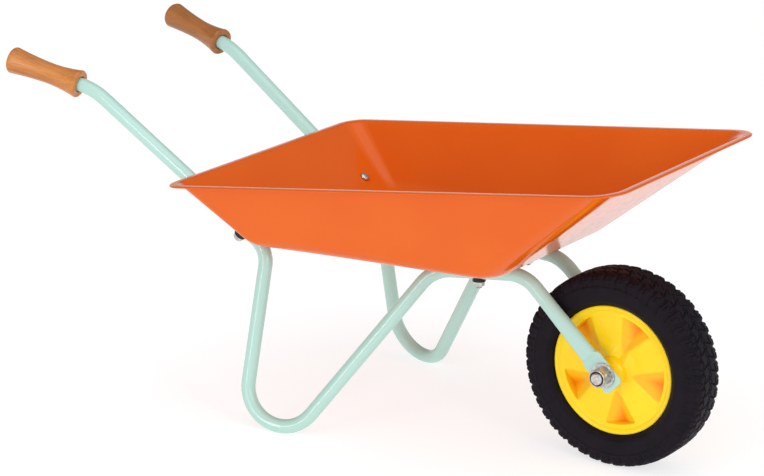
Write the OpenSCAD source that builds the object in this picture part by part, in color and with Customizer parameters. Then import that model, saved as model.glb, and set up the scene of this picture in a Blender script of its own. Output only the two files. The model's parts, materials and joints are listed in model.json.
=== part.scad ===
// Child's metal wheelbarrow: a pressed steel tray carried by two bent side tubes,
// with turned wooden grips, two tube feet and one treaded wheel.
// +X runs forward to the wheel, +Y to the left, +Z up. The origin is on the floor
// under the middle of the whole object.

/* [Tray] */
// Length of the tray over its lip
tray_l = 523; // [515:1:531]
// Width of the tray over its lip at the handle end
tray_w = 340; // [332:1:344]
// Width of the tray over its lip at the wheel end
tray_front_w = 302; // [296:1:310]
// Height of the lip above the floor at the handle end
lip_rear_z = 254; // [253:0.5:257]
// Height of the lip above the floor at the wheel end
lip_front_z = 323; // [315:1:330]
// Sheet thickness of the tray
sheet = 1.2; // [1:0.1:1.5]
// Width of the flat lip around the tray
lip_w = 9; // [8:0.5:10]
// How far the lip turns down at its edge
lip_drop = 2.4; // [2.3:0.1:3]
// Corner radius of the lip at the handle end
corner_rear_r = 24; // [22:1:30]
// Corner radius of the lip at the wheel end
corner_front_r = 33; // [30:1:44]

/* [Side tubes] */
// Diameter of the side tubes
tube_d = 15; // [14.6:0.1:15.2]
// Wall thickness of the side tubes
tube_wall = 1.2; // [1:0.1:1.6]
// Bend radius of the foot and fork bends, to the middle of the tube
bend_r = 40; // [38:1:41]
// Bend radius at the top of the leg
leg_bend_r = 30; // [28:1:34]
// Bend radius of the handle bend
handle_bend_r = 80; // [70:1:85]

/* [Grips] */
// Length of a wooden grip
grip_l = 86; // [80:1:87]
// Diameter of a grip at its rear end
grip_rear_d = 30; // [28:0.2:31]
// Diameter of a grip at its waist
grip_waist_d = 22.4; // [21.6:0.2:24]
// Diameter of a grip at its front end
grip_front_d = 31; // [28:0.2:31.4]

/* [Wheel] */
// Outer diameter of the tyre
wheel_d = 202; // [200:1:204]
// Width of the tyre
tyre_w = 49; // [47:0.5:50]
// Diameter of the rim over its lips
rim_d = 133.6; // [131:0.2:136]
// Number of tread blocks around each side of the tyre
tread_blocks = 45; // [40:1:48]
// Number of raised wedges around the rim
wedges = 5; // [5:1:6]

/* [Fasteners] */
// Diameter of the tray bolts
bolt_d = 6; // [5:0.5:6]
// Diameter of the wheel axle
axle_d = 12; // [11:0.5:12]
// Clearance around a bolt in its hole
bolt_gap = 0.2; // [0.1:0.05:0.3]
// Clearance between the turning rim and the sleeve it runs on
running_gap = 0.08; // [0.05:0.01:0.1]

/* [Hidden] */
$fn = 64;

orange = [0.91, 0.42, 0.13];
mint = [0.70, 0.87, 0.80];
beech = [0.85, 0.56, 0.33];
zinc = [0.75, 0.76, 0.77];
black = [0.12, 0.11, 0.12];
yellow = [1.0, 0.84, 0.12];

wheel_r = wheel_d / 2;
tube_r = tube_d / 2;
// The axle line: its place along X, and its height, which stands the tyre on the floor
axle_x = 289.5;
axle_z = wheel_r;

// ---- Side tube: one flat bent tube, drawn in a plane that leans inwards as it rises
// and turns outwards towards the handles.
// Plane origin: on the fork end, beside the wheel
fork_y = 33.5;
plane_lean = 13;
plane_turn = 13.5;
// Corner points of the tube's middle line in that plane, [along, up] from the axle
grip_end = [-683.5, 256.7];
handle_bend = [-582.8, 232.8];
leg_top = [-370.65, 84.8];
foot_corner_u = -389.9;
strut_top = [-187.5, 85.1];
fork_bend = [-90.6, 90.3];
axle_end = [0, 0];
// Height of the foot's corner point that lets the foot's bend just touch the floor,
// found from the lowest point of a bend between the leg and the strut
foot_r = bend_r;
foot_low = (tube_r - axle_z) / cos(plane_lean);
foot_corner_v = foot_corner(foot_low);
side_points = [grip_end, handle_bend, leg_top, [foot_corner_u, foot_corner_v],
    strut_top, fork_bend, axle_end];
side_radii = [0, handle_bend_r, leg_bend_r, foot_r, bend_r, bend_r, 0];

// How far a straight runs into a bend, and how much thicker the bend is
bend_lap = 0.6;
bend_swell = 0.03;

// The tube starts inside the grip and stays round until its flattened end
grip_cover = 62;
tube_start = side_points[0] + (grip_l - grip_cover) * unit(side_points[1] - side_points[0]);
round_end = side_points[5] + 76 * unit(side_points[6] - side_points[5]);
tube_points = [tube_start, for (i = [1:5]) side_points[i], round_end];

// Flattened fork end: a plate of doubled wall, square to the axle
plate_t = 3;
plate_w = 24.6;
plate_back = 24;
plate_front = 17;
plate_clip = 3;
plate_angle = -43.4;
// Step where the pressed part leaves the round tube and meets the plate
press_step = 0.5;

// ---- Tray planes and outlines, all on the underside of the sheet
tray_rear_x = -162;
tray_front_x = tray_rear_x + tray_l;
lip_slope = (lip_front_z - lip_rear_z) / tray_l;
floor_z0 = 194.2;
floor_slope = 0.0195;
floor_rear_x = -75.5;
floor_front_x = 199.5;
floor_rear_w = 257.6;
floor_front_w = 208;
floor_rear_r = 9;
floor_front_r = 24.5;
// Length of the curved part beside each crease
floor_round = 17;
lip_round = 4;
roll_r = 2;
// How much of an inset is taken off the corner radii, and the least radius left
floor_inset = 0.7;
lip_inset = 0.6;
least_r = 2;
// Points around a quarter corner, and steps across a crease
corner_n = 8;
crease_n = 5;
// Miter shift of the upper skin for the slope of the end walls and the side walls
miter_x = 0.36 * sheet;
miter_y = 0.63 * sheet;

// ---- Tray bolts: where each crosses the side tube, as [along, up] in the tube's plane
rear_bolt_at = handle_bend + 0.87 * (leg_top - handle_bend);
front_bolt_at = strut_top + 0.50 * (fork_bend - strut_top);
floor_tilt = atan(floor_slope);
head_r = 5.4;
head_h = 3.2;
slot_l = 5.2;
slot_w = 1.1;
slot_depth = 1.7;
nut_h = 5;
nut_r = 5.77;
washer_r = 6.8;
washer_out = 2;
pad_r = 7;
// Fit of the pads and washers: room around the tube, reach down its sides, gap to the
// tray, and the gap under the bolt heads
saddle_gap = 0.08;
saddle_depth = 2.2;
pad_gap = 0.04;
head_gap = 0.3;

// ---- Wheel hub, outwards from the middle of the wheel
plate_in = fork_y - plate_t / 2;
plate_out = fork_y + plate_t / 2;
axle_washer_t = 1.8;
axle_washer_r = 13;
inner_washer_r = 11;
sleeve_r = 8;
hub_r = 11.2;
hub_play = 0.3;
lock_nut_h = 11.6;
lock_nut_hex_h = 8.4;
lock_nut_r = 10.4;
collar_r = 9;
insert_r = 7.6;
axle_tip = 1.2;
axle_head_h = 7;
axle_head_r = 10.4;

// ---- Rim: its half width over the lips, the seat of the tyre's beads, its flat face
rim_r = rim_d / 2;
rim_half_w = 18.5;
bead_r = rim_r - 7;
face_y = 15.5;
// Valleys between the wedges: where they start and end, how deep and wide they get,
// how far their cutter stands above the face, how far above it their bottom starts, and
// the turn of the first one from +X
valley_from = 15;
valley_to = 58;
valley_depth = 9;
valley_half_w = 16.5;
valley_top = 7;
valley_lift = 1;
first_valley = -8;
seam_turn = 22;
// Coring behind the face: the ring behind the valleys and the pocket behind each wedge
skin_t = 2.4;
core_r0 = 16;
core_r1 = 55;
core_depth = 4;
pocket_w0 = 5.2;
pocket_w1 = 18.4;

// ---- Tyre: its thickness under the tread, where its beads end, and its grooves
tyre_t = 7.5;
bead_in = 7;
tread_depth = 2.4;
groove_w = 2.6;

function unit(v) = v / norm(v);
function angle_of(v) = atan2(v[1], v[0]);
// Signed turn at corner i of a path
function turn(p, i) =
    let (a = angle_of(p[i] - p[i - 1]), b = angle_of(p[i + 1] - p[i]), t = b - a)
    t > 180 ? t - 360 : t < -180 ? t + 360 : t;
function setback(p, r, i) = r[i] * tan(abs(turn(p, i)) / 2);

// Corner point height for which a bend of foot_r has its lowest point at height low:
// fixed-point steps on the angle between the leg and the strut
function foot_try(v, low) =
    let (a = angle_of(leg_top - [foot_corner_u, v]),
         b = angle_of(strut_top - [foot_corner_u, v]),
         half = (a - b) / 2,
         mid = (a + b) / 2)
    low + foot_r - foot_r / sin(half) * sin(mid);
function foot_corner(low, v = -190, n = 12) = n == 0 ? v : foot_corner(low, foot_try(v, low), n - 1);

// A point [along, up] of the right tube's plane in the object's frame
function in_frame(p) =
    let (y = p[1] * sin(plane_lean), z = p[1] * cos(plane_lean))
    [axle_x + p[0] * cos(plane_turn) - y * sin(plane_turn),
     -fork_y + p[0] * sin(plane_turn) + y * cos(plane_turn),
     axle_z + z];

function lip_z(x) = lip_rear_z + lip_slope * (x - tray_rear_x);
function floor_z(x) = floor_z0 + floor_slope * x;

// Distance from the tube's middle line to the underside of the tray at each bolt,
// square to the rear wall and to the floor
wall_top = [tray_rear_x + lip_w + 0.5, lip_z(tray_rear_x + lip_w + 0.5) - sheet];
wall_foot = [floor_rear_x, floor_z(floor_rear_x)];
wall_run = unit(wall_foot - wall_top);
rear_bolt = in_frame(rear_bolt_at);
front_bolt = in_frame(front_bolt_at);
rear_wall_tilt = -angle_of(wall_run);
rear_gap = wall_run[0] * (wall_foot[1] - rear_bolt[2]) - wall_run[1] * (wall_foot[0] - rear_bolt[0]);
front_gap = (floor_z(front_bolt[0]) - front_bolt[2]) * cos(floor_tilt);

// ---- Outlines: a four-sided outline with rounded corners, as [x, y, z] points
function corner_arc(a, b, c, r, n) =
    let (d1 = unit(a - b), d2 = unit(c - b), half = acos(d1 * d2) / 2,
         centre = b + unit(d1 + d2) * r / sin(half),
         p1 = b + d1 * r / tan(half), s = angle_of(p1 - centre),
         sweep = 180 - 2 * half)
    [for (i = [0:n]) centre + r * [cos(s + sweep * i / n), sin(s + sweep * i / n)]];
function rounded(x0, x1, w0, w1, r0, r1) =
    let (c = [[x0, -w0], [x1, -w1], [x1, w1], [x0, w0]], r = [r0, r1, r1, r0])
    [for (i = [0:3]) for (q = corner_arc(c[(i + 3) % 4], c[i], c[(i + 1) % 4], r[i], corner_n)) q];
function on_floor(pts, lift) = [for (q = pts) [q[0], q[1], floor_z(q[0]) + lift]];
function on_lip(pts, lift) = [for (q = pts) [q[0], q[1], lip_z(q[0]) + lift]];

// The outline of the floor's crease, moved in by d, and the outline of the lip,
// moved in by d from its outer edge; mx and my are the miter shift of the upper skin
function floor_outline(d, mx, my) =
    rounded(floor_rear_x + d + mx, floor_front_x - d - mx,
        floor_rear_w / 2 - d - my, floor_front_w / 2 - d - my,
        max(floor_rear_r - d * floor_inset, least_r), max(floor_front_r - d * floor_inset, least_r));
function lip_outline(d, mx, my) =
    rounded(tray_rear_x + d + mx, tray_front_x - d - mx,
        tray_w / 2 - d - my, tray_front_w / 2 - d - my,
        corner_rear_r - d * lip_inset, corner_front_r - d * lip_inset);
// A ring part of the way along the curve that rounds corner k between points a and b
function blend(a, k, b, t) =
    [for (i = [0:len(a) - 1]) (1 - t) * (1 - t) * a[i] + 2 * t * (1 - t) * k[i] + t * t * b[i]];
function towards(a, b, l) = [for (i = [0:len(a) - 1]) a[i] + l * unit(b[i] - a[i])];

// Rings of one skin from the floor out to the flat lip, lifted by the sheet thickness
function skin(lift) =
    let (mx = lift > 0 ? miter_x : 0, my = lift > 0 ? miter_y : 0,
         f0 = on_floor(floor_outline(floor_round, mx, my), lift),
         f1 = on_floor(floor_outline(0, mx, my), lift),
         l1 = on_lip(lip_outline(lip_w + 0.5, mx, my), lift - sheet),
         l2 = on_lip(lip_outline(lip_w + 0.5 - lip_round, mx, my), lift - sheet),
         w0 = towards(f1, l1, floor_round),
         w1 = towards(l1, f1, lip_round))
    [for (i = [0:crease_n]) blend(f0, f1, w0, i / crease_n),
     for (i = [0:3]) blend(w1, l1, l2, i / 3)];
// Rings of the rolled edge: out along the top, down, and back along the underside
function roll_ring(r, a) = on_lip(lip_outline(roll_r - r * sin(a), 0, 0), r * cos(a) - roll_r);
roll_steps = 4;
rolled_edge = [
    for (i = [0:roll_steps]) roll_ring(roll_r, 90 * i / roll_steps),
    on_lip(lip_outline(0, 0, 0), -lip_drop),
    on_lip(lip_outline(sheet, 0, 0), -lip_drop),
    for (i = [roll_steps:-1:0]) roll_ring(roll_r - sheet, 90 * i / roll_steps)];
function reversed(v) = [for (i = [len(v) - 1:-1:0]) v[i]];
tray_rings = concat(skin(sheet), rolled_edge, reversed(skin(0)));
ring_n = 4 * (corner_n + 1);
tray_mid_x = (floor_rear_x + floor_front_x) / 2;

// One closed shell through all the rings, with a fan at the middle of each skin
module tray_shell() {
    n = len(tray_rings);
    top = n * ring_n;
    points = [for (r = tray_rings) for (q = r) q,
        [tray_mid_x, 0, floor_z(tray_mid_x) + sheet],
        [tray_mid_x, 0, floor_z(tray_mid_x)]];
    faces = [
        for (j = [0:ring_n - 1]) [top, (j + 1) % ring_n, j],
        for (i = [0:n - 2]) for (j = [0:ring_n - 1])
            let (k = (j + 1) % ring_n, a = i * ring_n, b = a + ring_n)
            [a + j, a + k, b + k],
        for (i = [0:n - 2]) for (j = [0:ring_n - 1])
            let (k = (j + 1) % ring_n, a = i * ring_n, b = a + ring_n)
            [a + j, b + k, b + j],
        for (j = [0:ring_n - 1]) [top + 1, (n - 1) * ring_n + j, (n - 1) * ring_n + (j + 1) % ring_n]];
    polyhedron(points = points, faces = faces);
}

// ---- Placing helpers
// The children for the right side, and mirrored for the left
module both_sides() {
    children();
    mirror([0, 1, 0]) children();
}

// The right tube's plane: X along it and Z up in it
module in_side_plane() {
    translate([axle_x, -fork_y, axle_z])
        rotate([0, 0, plane_turn])
            rotate([-plane_lean, 0, 0])
                children();
}

// A frame at a tray bolt on the right side, +Z towards the bolt's head
module at_rear_bolt() {
    translate(in_frame(rear_bolt_at)) rotate([0, rear_wall_tilt, 0]) children();
}

module at_front_bolt() {
    translate(in_frame(front_bolt_at)) rotate([0, -floor_tilt, 0]) children();
}

// A frame on the axle, +Z towards the right side of the object
module on_axle() {
    translate([axle_x, 0, axle_z]) rotate([90, 0, 0]) children();
}

module ring(outer_r, inner_r, h) {
    difference() {
        cylinder(r = outer_r, h = h);
        translate([0, 0, -1]) cylinder(r = inner_r, h = h + 2);
    }
}

// ---- Side tube
// A round bar of radius r along a path with rounded corners, in the XZ plane. The bends
// are a hair thicker than the straights, whose ends run a little way into them.
module bar_path(p, radii, r) {
    rotate([90, 0, 0]) {
        for (i = [0:len(p) - 2]) {
            d = unit(p[i + 1] - p[i]);
            s = i == 0 ? 0 : setback(p, radii, i);
            e = i == len(p) - 2 ? 0 : setback(p, radii, i + 1);
            lead = i == 0 ? 0 : bend_lap;
            trail = i == len(p) - 2 ? 0 : bend_lap;
            start = p[i] + (s - lead) * d;
            translate([start[0], start[1], 0])
                rotate([0, 90, angle_of(d)])
                    cylinder(r = r, h = norm(p[i + 1] - p[i]) - s - e + lead + trail);
        }
        for (i = [1:len(p) - 2]) {
            t = turn(p, i);
            side = t > 0 ? 1 : -1;
            d1 = unit(p[i] - p[i - 1]);
            d2 = unit(p[i + 1] - p[i]);
            s = setback(p, radii, i);
            centre = p[i] - s * d1 + side * radii[i] * [-d1[1], d1[0]];
            first = t > 0 ? p[i] - s * d1 : p[i] + s * d2;
            translate([centre[0], centre[1], 0])
                rotate([0, 0, angle_of(first - centre)])
                    rotate_extrude(angle = abs(t))
                        translate([radii[i], 0])
                            circle(r = r + bend_swell);
        }
    }
}

// The flattened end: a flat plate with clipped corners, and the hull that runs from
// within the wall of the round tube into the back edge of the plate
module fork_plate() {
    translate([axle_x, -fork_y, axle_z])
        rotate([90, -plate_angle, 0])
            translate([0, 0, -plate_t / 2])
                linear_extrude(plate_t)
                    polygon([[-plate_back, -plate_w / 2], [plate_front - plate_clip, -plate_w / 2],
                        [plate_front, -plate_w / 2 + plate_clip], [plate_front, plate_w / 2 - plate_clip],
                        [plate_front - plate_clip, plate_w / 2], [-plate_back, plate_w / 2]]);
}

module fork_transition() {
    hull() {
        in_side_plane()
            translate([round_end[0], 0, round_end[1]])
                rotate([0, 90 - angle_of(axle_end - fork_bend), 0])
                    translate([0, 0, -1])
                        cylinder(r = tube_r - press_step, h = 0.6, $fn = 32);
        translate([axle_x, -fork_y, axle_z])
            rotate([0, -plate_angle, 0])
                translate([-plate_back, -plate_t / 2 + press_step / 2, -plate_w / 2 + press_step])
                    cube([2, plate_t - press_step, plate_w - 2 * press_step]);
    }
}

module side_tube() {
    color(mint) difference() {
        union() {
            difference() {
                in_side_plane() bar_path(tube_points, side_radii, tube_r);
                in_side_plane() bar_path(tube_points, side_radii, tube_r - tube_wall);
            }
            fork_transition();
            fork_plate();
        }
        at_rear_bolt() translate([0, 0, -20]) cylinder(r = bolt_d / 2 + bolt_gap, h = 40);
        at_front_bolt() translate([0, 0, -20]) cylinder(r = bolt_d / 2 + bolt_gap, h = 40);
        on_axle() translate([0, 0, plate_in - 4]) cylinder(r = axle_d / 2 + bolt_gap, h = 12);
    }
}

module right_side_tube() side_tube();
module left_side_tube() mirror([0, 1, 0]) side_tube();

// ---- Grips: turned wood, waisted, with a blind bore for the tube
waist_at = 0.58;
function grip_radius(t) =
    t < waist_at
        ? grip_waist_d / 2 + (grip_rear_d - grip_waist_d) / 2 * pow(1 - t / waist_at, 1.8)
        : grip_waist_d / 2 + (grip_front_d - grip_waist_d) / 2 * pow((t - waist_at) / (1 - waist_at), 1.8);
grip_rear_round = 4;
grip_front_chamfer = 1.2;
grip_steps = 16;

module grip() {
    first = grip_rear_round / grip_l;
    last = 1 - grip_front_chamfer / grip_l;
    end_r = grip_radius(first);
    profile = [[0, 0], [end_r - grip_rear_round, 0],
        for (a = [20:20:80]) [end_r - grip_rear_round * (1 - sin(a)), grip_rear_round * (1 - cos(a))],
        for (i = [0:grip_steps]) let (t = first + (last - first) * i / grip_steps)
            [grip_radius(t), t * grip_l],
        [grip_front_d / 2 - grip_front_chamfer, grip_l], [0, grip_l]];
    color(beech) in_side_plane()
        translate([grip_end[0], 0, grip_end[1]])
            rotate([0, 90 - angle_of(handle_bend - grip_end), 0])
                difference() {
                    rotate_extrude() polygon(profile);
                    translate([0, 0, grip_l - grip_cover]) cylinder(r = tube_r + 0.05, h = grip_l);
                    translate([0, 0, grip_l - 2.5]) cylinder(r = tube_r + 1.2, h = 5);
                }
}

module right_grip() grip();
module left_grip() mirror([0, 1, 0]) grip();

// ---- Tray
module tray() {
    color(orange) difference() {
        tray_shell();
        both_sides() {
            at_rear_bolt() cylinder(r = bolt_d / 2 + bolt_gap, h = 30);
            at_front_bolt() cylinder(r = bolt_d / 2 + bolt_gap, h = 30);
        }
    }
}

// ---- Tray fasteners, for a tray underside at distance gap from the tube's middle line
nut_at = -tube_r - washer_out;
bolt_tail = 2.5;

module tray_bolt(gap) {
    color(zinc) {
        translate([0, 0, nut_at - nut_h - bolt_tail])
            cylinder(r = bolt_d / 2, h = gap + sheet - nut_at + nut_h + bolt_tail + 0.5);
        translate([0, 0, gap + sheet + head_gap]) difference() {
            rotate_extrude() polygon([[0, 0], [head_r, 0], [head_r, 0.8],
                for (a = [15:15:75]) [2 + (head_r - 2) * cos(a), 0.8 + (head_h - 0.8) * sin(a)],
                [2, head_h], [0, head_h]]);
            for (a = [45, 135]) rotate([0, 0, a])
                translate([-slot_l / 2, -slot_w / 2, head_h - slot_depth])
                    cube([slot_l, slot_w, slot_depth + 1]);
        }
    }
}

// Room for the straight stretch of the right tube between two of its corner points
module tube_room(a, b) {
    in_side_plane()
        translate([a[0], 0, a[1]])
            rotate([0, 90 - angle_of(b - a), 0])
                cylinder(r = tube_r + saddle_gap, h = norm(b - a));
}

// The pad between the tube and a tray gap away, before the tube's room is taken out
module pad_blank(gap) {
    translate([0, 0, tube_r - saddle_depth])
        ring(pad_r, bolt_d / 2 + bolt_gap, gap - tube_r + saddle_depth - pad_gap);
}

// The washer under the nut, before the tube's room is taken out
module saddle_blank() {
    translate([0, 0, nut_at]) ring(washer_r, bolt_d / 2 + bolt_gap, washer_out + saddle_depth);
}

module rear_pair() {
    color(black) both_sides() difference() {
        at_rear_bolt() children();
        tube_room(handle_bend, leg_top);
    }
}

module front_pair() {
    color(black) both_sides() difference() {
        at_front_bolt() children();
        tube_room(strut_top, fork_bend);
    }
}

module tray_nut() {
    color(zinc) difference() {
        translate([0, 0, nut_at - nut_h]) intersection() {
            cylinder(r = nut_r, h = nut_h, $fn = 6);
            rotate_extrude() polygon([[0, 0], [nut_r - 0.9, 0], [nut_r + 0.1, 0.7],
                [nut_r + 0.1, nut_h - 0.3], [nut_r - 0.3, nut_h], [0, nut_h]]);
        }
        translate([0, 0, nut_at - nut_h - 1]) cylinder(r = bolt_d / 2 + 0.05, h = nut_h + 2);
    }
}

module rear_tray_bolts() both_sides() at_rear_bolt() tray_bolt(rear_gap);
module front_tray_bolts() both_sides() at_front_bolt() tray_bolt(front_gap);
module rear_tube_pads() rear_pair() pad_blank(rear_gap);
module front_tube_pads() front_pair() pad_blank(front_gap);
module rear_saddle_washers() rear_pair() saddle_blank();
module front_saddle_washers() front_pair() saddle_blank();
module rear_tray_nuts() both_sides() at_rear_bolt() tray_nut();
module front_tray_nuts() both_sides() at_front_bolt() tray_nut();

// ---- Axle: a hexagon bolt from the left, clamped by a lock nut on the right
nut_from = plate_out + axle_washer_t;
collar_h = lock_nut_h - lock_nut_hex_h + 1;
tip_at = nut_from + lock_nut_h + axle_tip;

module axle_bolt() {
    color(zinc) on_axle() {
        translate([0, 0, -nut_from - 1]) rotate_extrude()
            polygon([[0, 0], [axle_d / 2, 0], [axle_d / 2, tip_at + nut_from],
                [axle_d / 2 - 1, tip_at + nut_from + 1], [0, tip_at + nut_from + 1]]);
        translate([0, 0, -nut_from - axle_head_h]) intersection() {
            cylinder(r = axle_head_r, h = axle_head_h, $fn = 6);
            rotate_extrude() polygon([[0, 0], [axle_head_r - 1.2, 0], [axle_head_r + 0.1, 0.8],
                [axle_head_r + 0.1, axle_head_h], [0, axle_head_h]]);
        }
    }
}

module axle_lock_nut() {
    color(zinc) on_axle() translate([0, 0, nut_from]) difference() {
        union() {
            intersection() {
                cylinder(r = lock_nut_r, h = lock_nut_hex_h, $fn = 6);
                rotate_extrude() polygon([[0, 0], [lock_nut_r - 0.6, 0], [lock_nut_r + 0.1, 0.5],
                    [lock_nut_r + 0.1, lock_nut_hex_h - 0.8], [collar_r - 0.3, lock_nut_hex_h],
                    [0, lock_nut_hex_h]]);
            }
            translate([0, 0, lock_nut_hex_h - 1]) rotate_extrude()
                polygon([[0, 0], [collar_r, 0], [collar_r, collar_h - 0.6], [collar_r - 0.6, collar_h],
                    [0, collar_h]]);
        }
        translate([0, 0, -1]) cylinder(r = axle_d / 2 + 0.05, h = lock_nut_h + 2);
        translate([0, 0, lock_nut_h - 2.6]) cylinder(r = insert_r, h = 4);
    }
}

module lock_nut_insert() {
    color(black) on_axle() translate([0, 0, nut_from + lock_nut_h - 2.6])
        ring(insert_r - 0.05, axle_d / 2 + 0.05, 2.2);
}

module outer_axle_washers() both_sides() {
    color(zinc) on_axle() translate([0, 0, plate_out])
        ring(axle_washer_r, axle_d / 2 + bolt_gap, axle_washer_t);
}

module inner_axle_washers() both_sides() {
    color(zinc) on_axle() translate([0, 0, plate_in - axle_washer_t])
        ring(inner_washer_r, axle_d / 2 + bolt_gap, axle_washer_t);
}

sleeve_half = plate_in - axle_washer_t;
module axle_sleeve() {
    color(zinc) on_axle() translate([0, 0, -sleeve_half])
        ring(sleeve_r, axle_d / 2 + bolt_gap, 2 * sleeve_half);
}

// ---- Wheel
hub_half = sleeve_half - hub_play;

// Section of one half of the rim, [radius, out from the middle], from the bore outwards
rim_half_section = [[sleeve_r + running_gap, 0], [sleeve_r + running_gap, hub_half],
    [hub_r, hub_half], [hub_r + 0.8, hub_half - 5], [hub_r + 6, face_y + 3], [hub_r + 16, face_y],
    [rim_r - 6, face_y], [rim_r - 3, rim_half_w - 0.6], [rim_r - 1.6, rim_half_w],
    [rim_r, rim_half_w - 0.8], [rim_r, rim_half_w - 2.4], [bead_r, rim_half_w - 5], [bead_r, 0]];

// A V-shaped valley that widens and deepens from the hub to a steep outer end
module valley() {
    top = face_y + valley_top;
    w = valley_half_w * (valley_top + valley_depth) / valley_depth;
    polyhedron(
        points = [[valley_from, -0.8, top], [valley_from, 0.8, top], [valley_from, 0, face_y + valley_lift],
            [valley_to, -w, top], [valley_to, w, top], [valley_to - 3, 0, face_y - valley_depth]],
        faces = [[0, 2, 1], [3, 4, 5], [0, 3, 5], [0, 5, 2], [1, 2, 5], [1, 5, 4], [0, 1, 4], [0, 4, 3]]);
}

// The moulding is cored from its joint face: a ring behind the valleys and a pocket
// behind each wedge
module rim_core() {
    translate([0, 0, -1]) ring(core_r1, core_r0, core_depth + 1);
    for (i = [0:wedges - 1]) rotate([0, 0, 360 / wedges * (i + 0.5) + seam_turn])
        translate([0, 0, -1]) linear_extrude(face_y - skin_t + 1)
            polygon([[core_r0 + 1, -pocket_w0], [core_r1 - 4, -pocket_w1], [core_r1 - 1.5, 0],
                [core_r1 - 4, pocket_w1], [core_r0 + 1, pocket_w0]]);
}

// The round faces have their seam seam_turn before the first valley, clear of its edges
module rim_half() {
    color(yellow) rotate([0, 0, first_valley - seam_turn]) difference() {
        rotate_extrude() polygon(rim_half_section);
        rim_core();
        for (i = [0:wedges - 1]) rotate([0, 0, 360 / wedges * i + seam_turn]) valley();
    }
}

module right_rim_half() on_axle() rim_half();
module left_rim_half() mirror([0, 1, 0]) on_axle() rim_half();

// One side of the tyre's section, [radius, out from the middle]: its outside from the
// bead to the crown, and its inside from the crown to the bead
tyre_outside = [[bead_r + 0.1, bead_in], [bead_r + 0.1, rim_half_w - 5.5],
    [rim_r - 1.5, rim_half_w - 3.2], [rim_r + 0.3, rim_half_w - 2.6],
    [rim_r + 0.6, rim_half_w - 1.8], [rim_r + 1.6, rim_half_w + 1.5],
    [rim_r + 6, tyre_w / 2 - 0.8], [rim_r + 14, tyre_w / 2], [wheel_r - 11, tyre_w / 2 - 0.2],
    [wheel_r - 4.5, tyre_w / 2 - 1.6], [wheel_r - 1.2, tyre_w / 2 - 5], [wheel_r, tyre_w / 2 - 11]];
tyre_inside = [[wheel_r - tyre_t, tyre_w / 2 - 14],
    [wheel_r - tyre_t - 3, tyre_w / 2 - 8.5], [wheel_r - 20, tyre_w / 2 - 6.5],
    [rim_r + 5, tyre_w / 2 - 8], [rim_r, bead_in + 2]];
function other_side(v) = [for (q = reversed(v)) [q[0], -q[1]]];

module tyre() {
    color(black) on_axle() difference() {
        rotate_extrude() polygon(concat(tyre_outside, other_side(tyre_outside),
            other_side(tyre_inside), tyre_inside));
        // Grooves between the shoulder blocks, half a pitch apart on the two sides
        for (side = [0, 1]) for (i = [0:tread_blocks - 1])
            rotate([0, 0, 360 / tread_blocks * (i + side / 2)])
                mirror([0, 0, side])
                    translate([wheel_r - tread_depth, -groove_w / 2, 5])
                        cube([tread_depth + 3, groove_w, tyre_w]);
    }
}

tray();
right_side_tube();
left_side_tube();
right_grip();
left_grip();
rear_tray_bolts();
front_tray_bolts();
rear_tube_pads();
front_tube_pads();
rear_saddle_washers();
front_saddle_washers();
rear_tray_nuts();
front_tray_nuts();
axle_bolt();
axle_lock_nut();
lock_nut_insert();
outer_axle_washers();
inner_axle_washers();
axle_sleeve();
right_rim_half();
left_rim_half();
tyre();
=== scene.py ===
"""Looks of a child's metal wheelbarrow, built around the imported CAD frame.

+X runs forward to the wheel, +Y to the left and +Z up. Right is -Y, the side that the
camera sees. Shapes are worked out in millimetres and turned into metres by new_mesh().
"""
import json
import math

import bmesh
import bpy
import numpy as np
from mathutils import Matrix, Vector


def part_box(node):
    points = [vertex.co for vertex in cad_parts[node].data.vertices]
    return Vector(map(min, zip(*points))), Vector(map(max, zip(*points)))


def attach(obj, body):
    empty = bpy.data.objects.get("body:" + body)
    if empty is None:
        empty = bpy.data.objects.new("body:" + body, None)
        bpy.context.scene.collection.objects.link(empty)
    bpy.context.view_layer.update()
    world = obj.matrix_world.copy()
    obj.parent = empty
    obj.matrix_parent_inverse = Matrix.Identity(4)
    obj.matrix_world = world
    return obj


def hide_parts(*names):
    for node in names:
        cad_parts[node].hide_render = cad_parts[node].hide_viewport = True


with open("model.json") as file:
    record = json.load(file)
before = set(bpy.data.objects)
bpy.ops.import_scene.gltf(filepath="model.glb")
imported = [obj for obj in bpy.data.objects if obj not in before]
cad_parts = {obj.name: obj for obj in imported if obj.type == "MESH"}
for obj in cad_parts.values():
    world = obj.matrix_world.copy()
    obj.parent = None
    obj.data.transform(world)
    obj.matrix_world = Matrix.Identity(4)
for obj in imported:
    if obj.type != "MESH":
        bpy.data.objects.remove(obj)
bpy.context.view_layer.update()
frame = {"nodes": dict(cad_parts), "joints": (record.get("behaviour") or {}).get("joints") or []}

MM = 0.001
SIDES = (("right", 1.0), ("left", -1.0))

# ---- Driving dimensions, in millimetres, read off the frame where it has them
AXLE = np.array(frame["joints"][0]["pos_m"]) / MM
TYRE_LO, TYRE_HI = (np.array(corner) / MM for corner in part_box("tyre"))
WHEEL_R = (TYRE_HI[2] - TYRE_LO[2]) / 2
TYRE_HALF_W = (TYRE_HI[1] - TYRE_LO[1]) / 2
TRAY_LO, TRAY_HI = (np.array(corner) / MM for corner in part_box("tray"))

TUBE_R = 7.5
FORK_Y = 33.5
PLATE_T = 3.0
SHEET = 1.2
# Room left between a bolt or tube and its hole
BORE_GAP = 0.05


# ---- Mesh helpers
def unit(v):
    """A vector or point at length 1."""
    v = np.asarray(v, float)
    return v / np.linalg.norm(v)


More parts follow.
